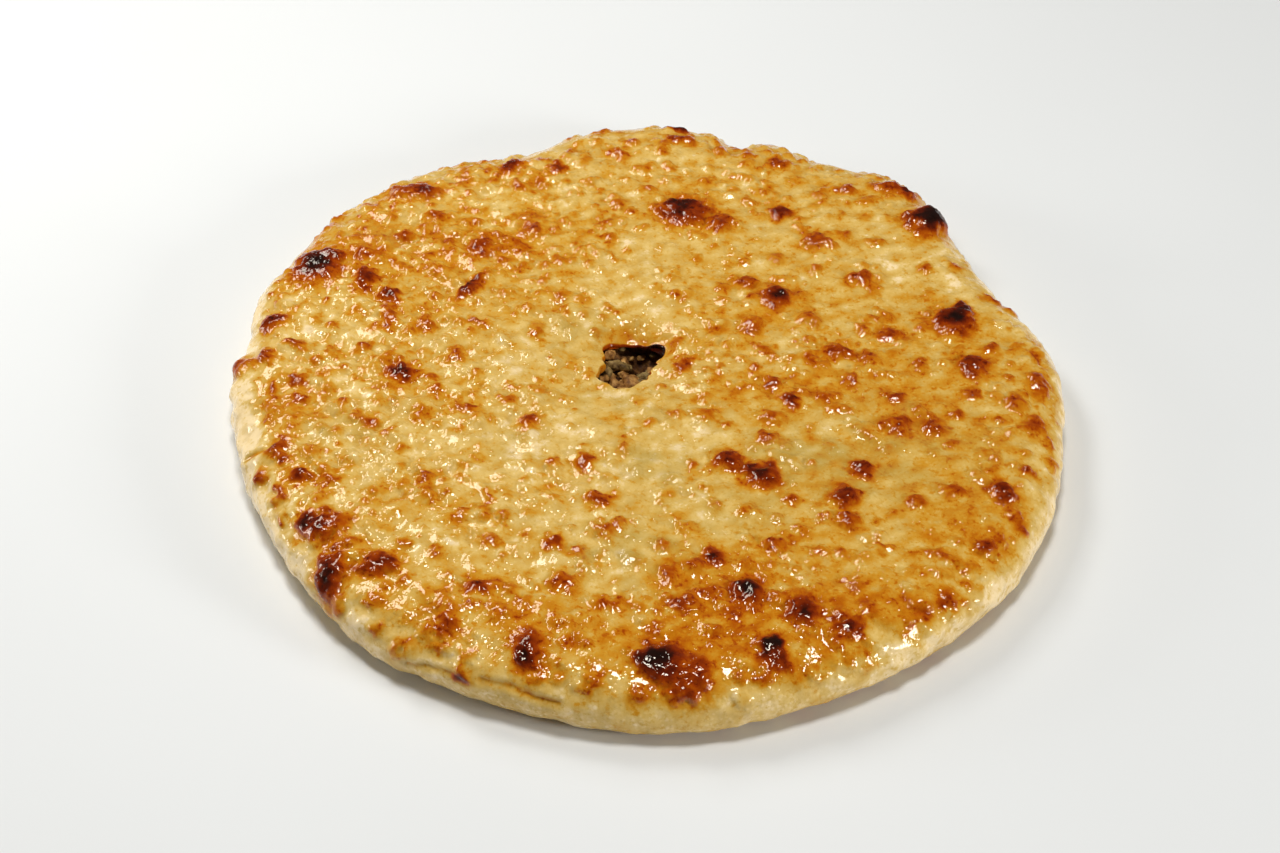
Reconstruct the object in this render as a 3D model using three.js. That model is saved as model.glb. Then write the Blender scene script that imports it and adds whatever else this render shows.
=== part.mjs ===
// A round filled pie, about 33 cm across: a bread dough crust, baked until its top rose in brown and
// black blisters, round a flat filling of salmon and greens that shows in a torn vent hole.
// Millimetres, +Z up. The origin is on the surface that the pie stands on, under the middle of its box.
import * as THREE from "three";

// The pie's main sizes.
const PIE_RADIUS = 165;
const TOP_HEIGHT = 24;
const WIDEST_HEIGHT = 10; // the level at which the rim reaches furthest out
const SHOULDER = 26; // how far in from the outline the top is level
const SHOULDER_POWER = 2.3; // the shoulder's section: 2 is an ellipse, more is squarer
const TUCK = 11; // how far the rim turns in below, down to the flat underside
const HOLE_X = -5;
const HOLE_Y = 8.5;
const HOLE_RADIUS = 12;

// The middle of the finished pie's box, as its swells leave it, from the middle of its round outline.
const BOX_MIDDLE = [0.5, 2.5];

// The dough's thicknesses, and the clearance between it and the filling.
const SKIN = 3.2;
const BASE = 3.4;
const RIM_DOUGH = 17;
const GAP = 0.35;
const EDGE_BULGE = 5; // how far the filling's rounded edge reaches further out halfway up
const TORN_STEP = 0.06; // how far the torn wall stands in from the hole's edge, as a share of its radius

// How far the filling has sunk under the hole, and how wide that hollow is.
const SUNK_DEPTH = 5;
const SUNK_RADIUS = 20;

// How far apart the points of each surface lie.
const TOP_STEP = 4.7;
const TOP_PITCH = 5.2;
const RIM_PITCH = 6.4;
const SHOULDER_RINGS = 6;
const TUCK_RINGS = 3;
const CAVITY_STEP = 15;
const CAVITY_PITCH = 10.5;
const LUMP_PITCH = 2.4;
const HOLE_COUNT = 26;
const UNDERSIDE_COUNT = 36;

// Swells and dents of the pie's outline: direction and half width in degrees, reach in mm.
const RIM_SWELLS = [
  [-158, 28, -8],
  [-86, 16, 4],
  [-48, 24, 2],
  [-10, 10, -3],
  [24, 15, -11],
  [50, 8, 8],
  [69, 4, 4],
  [75.5, 2.5, -6],
  [88, 12, 9],
  [112, 6, -4],
  [135, 18, 4],
  [170, 5, -3],
];

// The torn corners and flaps of the hole's edge, in the same terms.
const HOLE_SWELLS = [
  [41, 25, 6],
  [-20, 45, -3.3],
  [-112, 28, 4.6],
  [-148, 20, 3],
  [-177, 19, -1],
  [128, 15, 4],
  [95, 35, 4],
  [18, 13, -1.7],
];

// How the skin rolls down into the hole or stands up at its edge: direction and half width in degrees,
// height and reach in mm.
const HOLE_ROLLS = [
  [95, 60, -4, 5],
  [-100, 55, 0.4, 3],
  [178, 30, 1.2, 5],
];

// Broad swells and dips of the top: x, y, radius and height.
const TOP_SWELLS = [
  [HOLE_X, HOLE_Y, 26, -5.2],
  [-60, -60, 60, 0.8],
  [85, 60, 60, -0.7],
  [60, -110, 45, 0.8],
  [-120, 40, 40, 0.7],
];

// The larger blisters: x, y, half length, half width, height, and the length's direction in degrees.
const BLISTERS = [
  // back left
  [-134, 72, 8, 7, 3, 90],
  [-95, 121, 7, 5.5, 2.5, 80],
  [-112, 59, 6.5, 5, 2, 80],
  [-102, 47, 5, 4.5, 2.5, 0],
  [-70, 53, 9, 3.5, 2, 55],
  [-57, 134, 7, 4, 2.5, 60],
  // back right
  [13, 161, 6, 4, 2.5, -20],
  [16, 104, 12, 9, 3.5, 110],
  [32, 96, 6.5, 6, 2.5, 0],
  [57.5, 104, 5.5, 4.5, 2, 0],
  [117, 104, 10, 7, 4.5, 110],
  [71, 84, 6.5, 6, 2, 0],
  [87, 60, 7, 4.5, 2, -30],
  // left
  [-146, 31, 6.5, 5, 2.5, 10],
  [-158, 6, 6, 5, 5, 90],
  [-94, 1, 6.5, 6, 3, 0],
  [-74, 10.5, 6, 3.5, 1.8, 30],
  // middle
  [53, 48, 8, 6, 2.5, 90],
  [41, 57, 6, 4, 2, 0],
  [42, 30, 6.5, 4.5, 2.2, 10],
  [14, 4, 5.5, 3.5, 2, 60],
  [56, -16, 5, 4, 2.5, 90],
  [31, -49, 6, 5.5, 2.5, 0],
  [43, -57, 8, 7, 3, 30],
  // right
  [122, 32, 10, 8, 3.5, 60],
  [127, 4.5, 7, 6, 2.5, 0],
  [151, -6, 7, 5, 3, 110],
  [76, 14, 6.5, 5, 2.2, -20],
  [96, -30, 6, 5.5, 2.5, 0],
  [109, -31, 5, 4.5, 2, 60],
  [81, -53, 6, 5.5, 2.5, 80],
  [147, -29, 5.5, 5, 2, 0],
  // front right
  [73.5, -68, 6.5, 6, 3, 60],
  [74.5, -82, 5, 4.5, 2, 0],
  [131, -66, 6, 5, 2.5, 40],
  [134, -80, 5, 4.5, 2.2, 90],
  [122, -94, 5, 4.5, 2, 30],
  [36, -117, 8, 6.5, 3, 80],
  [24, -99, 6, 4, 2.5, 20],
  [55, -127, 6.5, 6, 2.5, 0],
  [44, -142, 5, 4, 2.5, 0],
  [70, -134, 6, 5, 3, 0],
  [105, -121, 5, 4.5, 2, 0],
  // front left
  [-116, -84, 10, 6.5, 3.5, 10],
  [-111, -108, 11, 6.5, 3.5, 105],
  [-94, -103, 8, 6, 2.5, 0],
  [-59, -114, 5.5, 4.5, 2.5, -30],
  [-40, -145, 8, 5, 2.5, 80],
  [3, -149, 10.5, 8.5, 3.5, 80],
  [14, -163, 7, 5, 2, -30],
];

// Flakes of salmon, stalks and grains that stand up from the filling in the hole, in the same terms.
const FLAKES = [
  [-8, 13, 4.5, 3, 2.2, 100],
  [-1, 7, 5, 2.6, 2.4, 60],
  [-12, 7, 3.6, 2.6, 1.8, 20],
  [-6, 1, 4, 3, 2, -20],
  [1, 16, 3.6, 2.4, 1.6, 150],
  [-13, 17, 3, 2.2, 1.4, 45],
  [-11, -2, 3, 2.4, 1.4, 0],
];

const DOME_POWER = 0.8; // a blister's section: 0.5 is half an ellipse, 1 a parabola

const toRadians = (degrees) => (degrees * Math.PI) / 180;

// A round outline's radius in a direction, with its swells and dents.
function reachOf(radius, swells, angle) {
  let reach = radius;
  for (const [direction, halfWidth, amount] of swells) {
    const turn = angle - toRadians(direction);
    const off = Math.atan2(Math.sin(turn), Math.cos(turn)) / toRadians(halfWidth);
    reach += amount * Math.exp(-off * off);
  }
  return reach;
}

const rimReach = (angle) => reachOf(PIE_RADIUS, RIM_SWELLS, angle);

// How far the skin rolls down or stands up round the hole. It fades outwards, and towards the middle.
function rollHeight(x, y) {
  const angle = Math.atan2(y - HOLE_Y, x - HOLE_X);
  const away = Math.hypot(x - HOLE_X, y - HOLE_Y);
  const edge = reachOf(HOLE_RADIUS, HOLE_SWELLS, angle);
  let height = 0;
  for (const [direction, halfWidth, rise, reach] of HOLE_ROLLS) {
    const past = Math.max(away - edge, 0) / reach;
    height += reachOf(0, [[direction, halfWidth, rise]], angle) * Math.exp(-past * past);
  }
  return height * Math.min(away / edge, 1) ** 2;
}

// A point of the hole's edge.
function holeEdge(angle) {
  const reach = reachOf(HOLE_RADIUS, HOLE_SWELLS, angle);
  return [HOLE_X + reach * Math.cos(angle), HOLE_Y + reach * Math.sin(angle)];
}

// A point that lies a distance in from the pie's outline.
function insetFromRim(angle, inset) {
  const reach = rimReach(angle) - inset;
  return [reach * Math.cos(angle), reach * Math.sin(angle)];
}

// A point between the hole's edge, share 0, and an inset line, share 1.
function between(angle, share, inset) {
  const [holeX, holeY] = holeEdge(angle);
  const [rimX, rimY] = insetFromRim(angle, inset);
  return [holeX + share * (rimX - holeX), holeY + share * (rimY - holeY)];
}

// The height of the smooth top at a point, with the fall of the shoulder towards the outline.
function skinHeight(x, y) {
  let level = TOP_HEIGHT + rollHeight(x, y);
  for (const [swellX, swellY, radius, height] of TOP_SWELLS) {
    const off = Math.hypot(x - swellX, y - swellY) / radius;
    level += height * Math.exp(-off * off);
  }
  const inset = rimReach(Math.atan2(y, x)) - Math.hypot(x, y);
  const fall = Math.min(Math.max(1 - inset / SHOULDER, 0), 1);
  const rise = (1 - fall ** SHOULDER_POWER) ** (1 / SHOULDER_POWER);
  return WIDEST_HEIGHT + (level - WIDEST_HEIGHT) * rise;
}

// How far the domes of a list stand up at a point of the surface.
function domeHeight(domes, heightAt, [x, y, z]) {
  let highest = 0;
  for (const [domeX, domeY, halfLength, halfWidth, height, direction] of domes) {
    const cos = Math.cos(toRadians(direction));
    const sin = Math.sin(toRadians(direction));
    const along = ((x - domeX) * cos + (y - domeY) * sin) / halfLength;
    const across = ((y - domeY) * cos - (x - domeX) * sin) / halfWidth;
    const down = (z - heightAt(domeX, domeY)) / halfLength;
    const off = along * along + across * across + down * down;
    if (off < 1) highest = Math.max(highest, height * (1 - off) ** DOME_POWER);
  }
  return highest;
}

// A point of the outer skin, pushed out by the blisters. The lean is 90 degrees where the skin is
// level, 0 where the rim is widest and -90 on the underside.
function skinPoint(angle, x, y, z, lean) {
  const out = domeHeight(BLISTERS, skinHeight, [x, y, z]);
  const sideways = out * Math.cos(lean);
  return [x + sideways * Math.cos(angle), y + sideways * Math.sin(angle), z + out * Math.sin(lean)];
}

// One closed ring of points, in order round the pie.
function ring(count, pointAt) {
  return Array.from({ length: count }, (_, k) => pointAt((2 * Math.PI * k) / count));
}

// How many points a ring takes, never fewer than the hole's edge has.
const countFor = (radius, pitch) =>
  Math.max(HOLE_COUNT, Math.round((2 * Math.PI * radius) / pitch));

// The flat underside, from its middle out to where the rim begins to turn up.
function undersideRings() {
  const rings = [[[0, 0, 0]]];
  for (const share of [0.2, 0.5, 0.8]) {
    rings.push(ring(UNDERSIDE_COUNT, (angle) => {
      const [x, y] = insetFromRim(angle, TUCK);
      return [x * share, y * share, 0];
    }));
  }
  return rings;
}

// The rim's side, from the edge of the underside up to the widest level.
function tuckRings() {
  const rings = [];
  for (let k = 0; k < TUCK_RINGS; k++) {
    const lean = toRadians(-90 + (90 * k) / TUCK_RINGS);
    const inset = TUCK * (1 - Math.cos(lean));
    const height = WIDEST_HEIGHT * (1 + Math.sin(lean));
    rings.push(ring(countFor(PIE_RADIUS, RIM_PITCH), (angle) => {
      const [x, y] = insetFromRim(angle, inset);
      return k === 0 ? [x, y, 0] : skinPoint(angle, x, y, height, lean);
    }));
  }
  return rings;
}

// The rim's shoulder, from the widest level up to the level top.
function shoulderRings() {
  const rings = [];
  for (let k = 0; k <= SHOULDER_RINGS; k++) {
    const lean = toRadians((90 * k) / SHOULDER_RINGS);
    const inset = SHOULDER * (1 - Math.cos(lean) ** (2 / SHOULDER_POWER));
    const radius = PIE_RADIUS - inset;
    rings.push(ring(countFor(radius, RIM_PITCH), (angle) => {
      const [x, y] = insetFromRim(angle, inset);
      return skinPoint(angle, x, y, skinHeight(x, y), lean);
    }));
  }
  return rings;
}

// The top, from the shoulder in to the hole's edge.
function topRings() {
  const width = PIE_RADIUS - SHOULDER - HOLE_RADIUS;
  const steps = Math.round(width / TOP_STEP);
  const rings = [];
  for (let k = 1; k <= steps; k++) {
    const share = 1 - k / steps;
    const radius = HOLE_RADIUS + share * width;
    rings.push(ring(countFor(radius, TOP_PITCH), (angle) => {
      const [x, y] = between(angle, share, SHOULDER);
      return skinPoint(angle, x, y, skinHeight(x, y), Math.PI / 2);
    }));
  }
  return rings;
}

// The torn wall of the hole between the top and the ceiling of the cavity.
function holeWallRing() {
  return ring(countFor(HOLE_RADIUS, TOP_PITCH), (angle) => {
    const [x, y] = holeEdge(angle);
    const inwards = [TORN_STEP * (HOLE_X - x), TORN_STEP * (HOLE_Y - y)];
    return [x + inwards[0], y + inwards[1], skinHeight(x, y) - SKIN / 2];
  });
}

// The cavity's ceiling, from the hole outwards. With a clearance it is the filling's own top.
function ceilingRings(clearance, heightAt) {
  const width = PIE_RADIUS - RIM_DOUGH - HOLE_RADIUS;
  const steps = Math.round(width / CAVITY_STEP);
  const rings = [];
  for (let k = 0; k <= steps; k++) {
    const share = k / steps;
    const radius = HOLE_RADIUS + share * width;
    rings.push(ring(countFor(radius, CAVITY_PITCH), (angle) => {
      const [x, y] = between(angle, share, RIM_DOUGH + clearance);
      return [x, y, heightAt(x, y)];
    }));
  }
  return rings;
}

// The cavity's rounded edge, and its floor back to the middle. With a clearance it is the filling's.
function edgeAndFloorRings(clearance) {
  const count = countFor(PIE_RADIUS - RIM_DOUGH, CAVITY_PITCH);
  const middleHeight = (TOP_HEIGHT - SKIN + BASE) / 2;
  const floorHeight = BASE + clearance;
  const edge = (inset, height) =>
    ring(count, (angle) => [...insetFromRim(angle, inset + clearance), height]);
  const rings = [edge(RIM_DOUGH - EDGE_BULGE, middleHeight), edge(RIM_DOUGH, floorHeight)];
  for (const share of [0.7, 0.4]) {
    rings.push(ring(Math.round(count * share), (angle) => {
      const [x, y] = insetFromRim(angle, RIM_DOUGH);
      return [x * share, y * share, floorHeight];
    }));
  }
  rings.push([[0, 0, floorHeight]]);
  return rings;
}

const ceilingHeight = (x, y) => skinHeight(x, y) - SKIN;

// The filling's top: just below the ceiling, and sunk under the hole.
function fillingHeight(x, y) {
  const off = Math.hypot(x - HOLE_X, y - HOLE_Y) / SUNK_RADIUS;
  return ceilingHeight(x, y) - GAP - SUNK_DEPTH * Math.exp(-(off ** 4));
}

// The filling's top inside the hole's edge, from its middle outwards, with the flakes on it.
function lumpRings() {
  const steps = Math.round(HOLE_RADIUS / LUMP_PITCH);
  const rings = [];
  for (let k = 0; k < steps; k++) {
    const share = k / steps;
    const pointAt = (angle) => {
      const [edgeX, edgeY] = holeEdge(angle);
      const x = HOLE_X + share * (edgeX - HOLE_X);
      const y = HOLE_Y + share * (edgeY - HOLE_Y);
      const z = fillingHeight(x, y);
      return [x, y, z + domeHeight(FLAKES, fillingHeight, [x, y, z])];
    };
    rings.push(ring(k === 0 ? 1 : HOLE_COUNT, pointAt));
  }
  return rings;
}

// Triangles between two rings of any counts. They face down where ring B lies outside ring A.
function stitch(indices, startA, countA, startB, countB) {
  const stepsA = countA > 1 ? countA : 0;
  const stepsB = countB > 1 ? countB : 0;
  let a = 0;
  let b = 0;
  while (a < stepsA || b < stepsB) {
    const pointA = startA + (a % countA);
    const pointB = startB + (b % countB);
    const takeB = b < stepsB && (a >= stepsA || (b + 0.5) / countB <= (a + 0.5) / countA);
    if (takeB) {
      b++;
      indices.push(startB + (b % countB), pointB, pointA);
    } else {
      a++;
      indices.push(pointA, startA + (a % countA), pointB);
    }
  }
}

// A closed solid from rings that lead from one pole to the other.
function solidFromRings(rings) {
  const positions = rings.flat(2);
  const indices = [];
  let start = 0;
  for (let k = 0; k + 1 < rings.length; k++) {
    const next = start + rings[k].length;
    stitch(indices, start, rings[k].length, next, rings[k + 1].length);
    start = next;
  }
  const geometry = new THREE.BufferGeometry();
  geometry.setAttribute("position", new THREE.Float32BufferAttribute(positions, 3));
  geometry.setIndex(indices);
  geometry.computeVertexNormals();
  return geometry;
}

function crust() {
  const geometry = solidFromRings([
    ...undersideRings(),
    ...tuckRings(),
    ...shoulderRings(),
    ...topRings(),
    holeWallRing(),
    ...ceilingRings(0, ceilingHeight),
    ...edgeAndFloorRings(0),
  ]);
  const dough = new THREE.MeshStandardMaterial({ color: 0xd9b469, roughness: 0.35, metalness: 0 });
  const mesh = new THREE.Mesh(geometry, dough);
  mesh.name = "crust";
  return mesh;
}

function filling() {
  const rings = [
    ...lumpRings(),
    ...ceilingRings(GAP, fillingHeight),
    ...edgeAndFloorRings(GAP),
  ];
  // These rings lead from the top down, so they are taken in reverse for faces that point out.
  const geometry = solidFromRings(rings.reverse());
  const salmon = new THREE.MeshStandardMaterial({ color: 0x9c7659, roughness: 0.6, metalness: 0 });
  const mesh = new THREE.Mesh(geometry, salmon);
  mesh.name = "filling";
  return mesh;
}

const pie = new THREE.Group();
pie.add(crust(), filling());
pie.position.set(-BOX_MIDDLE[0], -BOX_MIDDLE[1], 0);

export default pie;
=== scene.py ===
"""A round filled pie, about 33 cm across: a bread dough crust with a buttered, blistered top and a
torn vent hole that shows the salmon and greens inside. Shapes are worked out in millimetres, from the
middle of the pie's round outline, and become metres in the part's own frame when they are made."""
import math

import bpy
import numpy as np
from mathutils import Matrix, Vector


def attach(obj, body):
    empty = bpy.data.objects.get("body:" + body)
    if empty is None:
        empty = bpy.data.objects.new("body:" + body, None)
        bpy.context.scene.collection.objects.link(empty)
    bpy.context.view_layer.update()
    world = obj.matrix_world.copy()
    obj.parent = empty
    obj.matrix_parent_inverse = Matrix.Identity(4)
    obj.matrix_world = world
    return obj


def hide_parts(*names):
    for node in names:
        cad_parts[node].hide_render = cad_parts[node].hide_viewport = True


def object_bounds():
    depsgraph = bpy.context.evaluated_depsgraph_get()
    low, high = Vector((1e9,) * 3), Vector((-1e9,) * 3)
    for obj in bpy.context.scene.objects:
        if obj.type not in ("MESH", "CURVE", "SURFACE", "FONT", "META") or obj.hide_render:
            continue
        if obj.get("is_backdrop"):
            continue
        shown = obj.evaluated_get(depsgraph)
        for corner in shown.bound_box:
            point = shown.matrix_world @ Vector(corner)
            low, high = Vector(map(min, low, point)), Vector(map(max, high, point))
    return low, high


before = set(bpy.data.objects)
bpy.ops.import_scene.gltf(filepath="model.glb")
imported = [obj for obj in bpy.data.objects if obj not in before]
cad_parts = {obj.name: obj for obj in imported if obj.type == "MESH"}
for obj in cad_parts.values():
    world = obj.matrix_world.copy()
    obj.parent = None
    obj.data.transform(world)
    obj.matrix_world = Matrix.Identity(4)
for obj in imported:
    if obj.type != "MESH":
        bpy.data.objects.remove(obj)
CAD_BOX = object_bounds()

MM = 0.001

# The pie's main sizes, in mm.
PIE_RADIUS = 165
TOP_HEIGHT = 24
WIDEST_HEIGHT = 10
SHOULDER = 26
SHOULDER_POWER = 2.3
TUCK = 11
HOLE_X = -5
HOLE_Y = 8.5
HOLE_RADIUS = 12
BOX_MIDDLE = (0.5, 2.5)

# The dough's thickness over the filling, where it rolls down into the hole, under the filling and at
# the rim, and how far its torn edge bulges into the hole.
SKIN = 3.2
ROLLED_SKIN = 1.2
BASE = 3.4
RIM_DOUGH = 17
LIP_DEPTH = 0.7

# The filling's clearance from the dough, and how far its rounded edge reaches out halfway up.
GAP = 0.35
EDGE_BULGE = 5

# How far the filling has sunk under the hole, how wide that hollow is, and its swells by direction.
SUNK_DEPTH = 4.5
SUNK_RADIUS = 20
SUNK_SWELLS = [(120, 35, -2), (58, 36, 5), (-140, 25, 1)]

# How far apart the points of each surface lie, how far past the hole's edge the filling's lie close,
# how unevenly the top's lie, as a share of their pitch, the steps of the rim's sections, and how far
# out the rings of the hollow's floor lie.
TOP_PITCH = 1.03
SIDE_PITCH = 1.9
LIP_PITCH = 0.7
HIDDEN_PITCH = 7.0
FLAKE_PITCH = 0.7
FLAKE_REACH = 8.0
UNEVEN = 0.2
SHOULDER_STEPS = 400
SIDE_STEPS = 200
FLOOR_SHARES = (0.75, 0.5, 0.25)

# Swells and dents of the pie's outline: direction and half width in degrees, reach in mm.
RIM_SWELLS = [
    (-158, 28, -8), (-86, 16, 4), (-48, 24, 2), (-10, 10, -3), (24, 15, -11), (50, 8, 8),
    (69, 4, 4), (75.5, 2.5, -6), (88, 12, 9), (112, 6, -4), (135, 18, 4), (170, 5, -3),
]

# The torn corners and flaps of the hole's edge, in the same terms.
HOLE_SWELLS = [
    (41, 25, 6), (-20, 45, -3.3), (-112, 28, 4.6), (-148, 20, 3), (-177, 19, -1), (128, 15, 4),
    (95, 35, 4), (18, 13, -1.7),
]

# The small tears of that edge: how many go round it, where they begin, and how deep they are.
HOLE_TEARS = [(7, 1.0, 0.35), (13, 2.0, 0.30), (19, 0.5, 0.25)]

# How the skin rolls down into the hole or stands up at its edge: direction and half width in degrees,
# height and reach in mm.
HOLE_ROLLS = [(95, 60, -4, 5), (-100, 55, 0.4, 3), (178, 30, 1.2, 5)]

# Broad swells and dips of the top: x, y, radius and height.
TOP_SWELLS = [
    (HOLE_X, HOLE_Y, 26, -5.2), (-60, -60, 60, 0.8), (85, 60, 60, -0.7), (60, -110, 45, 0.8),
    (-120, 40, 40, 0.7),
]

# The camera: its lens, where it looks, in mm, from how far and how high, and the least distance in
# metres at which it sees things.
LENS = 70
SENSOR_WIDTH = 36
LOOK_AT = (-1.7, -5.5, 0)
CAMERA_DISTANCE = 972
CAMERA_ELEVATION = 41.9
NEAREST_SEEN = 0.01

# How baked each kind of blister is in its middle (0 is raw dough, 1 is black), how charred, how far
# it rises as a share of its half size, and how far its browning spreads past its foot.
KINDS = {
    "black": (0.95, 0.75, 0.48, 1.35),
    "burnt": (0.86, 0.3, 0.48, 1.5),
    "dark": (0.72, 0.0, 0.46, 1.6),
    "red": (0.60, 0.0, 0.42, 1.6),
    "brown": (0.53, 0.0, 0.38, 1.6),
    "orange": (0.46, 0.0, 0.32, 1.6),
    "faint": (0.38, 0.0, 0.20, 1.6),
}

# The height that blisters come close to but don't pass, and the power that rounds their domes.
HIGHEST = 3.3
DOME_POWER = 0.8

# How far out a blister is worked out, and how its knobbly top adds to its height and its baking.
BLISTER_REACH = 2.4
KNOBBLY_DOME = 0.10
KNOBBLY_BAKE = 0.03

# Where each fades, in half sizes from a blister's middle: its browned core, its charred tip, and the
# skirt of half browned skin that grows between two levels of baking.
CORE_START = 0.1
CHAR_FADE = (0.25, 0.95)
SKIRT_FADE = (0.8, 2.2)
SKIRT_LEVELS = (0.3, 0.7)
SKIRT_SHARE = 0.5

# How baked the plain skin, a skirt and the torn edge are, the last with swells by direction, and how
# much darker and more amber the skin that rolls into the hole is made. The torn edge's swells at the
# back are painted shade, where it lies in the shadow of the hole. The torn edge begins clear of the base.
BASE_LEVEL = 0.19
SKIRT_LEVEL = 0.42
ROLLED_DARKENING = 0.22
TORN_LEVEL = 0.40
TORN_SHADE_SWELLS = [(25, 50, 0.65), (105, 40, 0.2)]
CLEAR_OF_BASE = 1

# Ripples, each wavelength, amount and seed: of the baking, the pale band's edge, the blisters' edges,
# their shift along x and y, their knobbly tops, charred wrinkles, the top's broad and finer waves, and
# its thinness.
GROUND_WAVES = [(30, 0.03, 6), (8, 0.045, 7)]
PALE_WAVES = [(14, 1.0, 8), (5, 0.7, 14)]
EDGE_WAVES = [(9, 0.08, 1)]
SHIFT_WAVES = ([(6, 0.6, 31), (3, 0.36, 33)], [(6, 0.6, 32), (3, 0.36, 34)])
KNOBBLY_WAVES = [(3.2, 1.0, 2)]
WRINKLE_WAVES = [(3.5, 0.5, 13)]
BROAD_WAVES = [(34, 0.30, 9)]
LUMPY_WAVES = [(11, 0.20, 10), (6, 0.08, 12)]
THIN_WAVES = [(12, 0.5, 5)]

# The levels above the table between which all that rises from the skin sets in.
FOOT_FADE = (0, 3)

# The filling's uneven top: its ripples, how far they are sunk, how high they may be, and how far past
# the hole's radius they fade.
FILLING_WAVES = [(6, 1.1, 21), (2.6, 0.6, 22)]
FILLING_SUNK = 0.6
FILLING_LIMIT = 1.6
FILLING_FADE = (2, 8)

# The larger lumps that show in the hole: x, y and radius. Then how high they lie, and their shape.
SALMON_LUMPS = [(-13.5, 19, 2.6), (-4.7, 5.6, 4.4), (-11, 4.2, 3.6), (3.2, 15, 2.6), (-8.5, 0, 2.8)]
GREENS_LUMPS = [(-12, 14.5, 3.0), (-7.4, 13.5, 2.6), (0.7, 11, 3.3), (-0.6, 5.5, 2.8), (-14, 9.5, 2.4)]
LUMP_LIFT = 1.6
LUMP_SHAPE = (1.0, 0.9, 0.75)

# The small pieces strewn round them: how far out, and how their sizes and tilts vary. All are balls
# with ripples, wavelength and amount, from another part of the field for each. Where the crust covers
# them, from a margin inside the hole's edge on, they stay under it.
STREWN_RADIUS = 19
STREWN_SIZES = (0.7, 1.3)
STREWN_TILT = 0.35
BIT_WAVES = [(1.6, 0.16), (0.6, 0.05)]
BIT_SHIFT = 10
ROOF_MARGIN = 1

# The level on which the places of the blisters are given, along the camera's line of sight. They lie
# where that line meets the skin, which is looked for downwards, a margin inside the outline.
SIGHT_LEVEL = 22
SIGHT_SEARCH = np.linspace(-8, 16, 241)
SIGHT_MARGIN = 0.3

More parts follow.
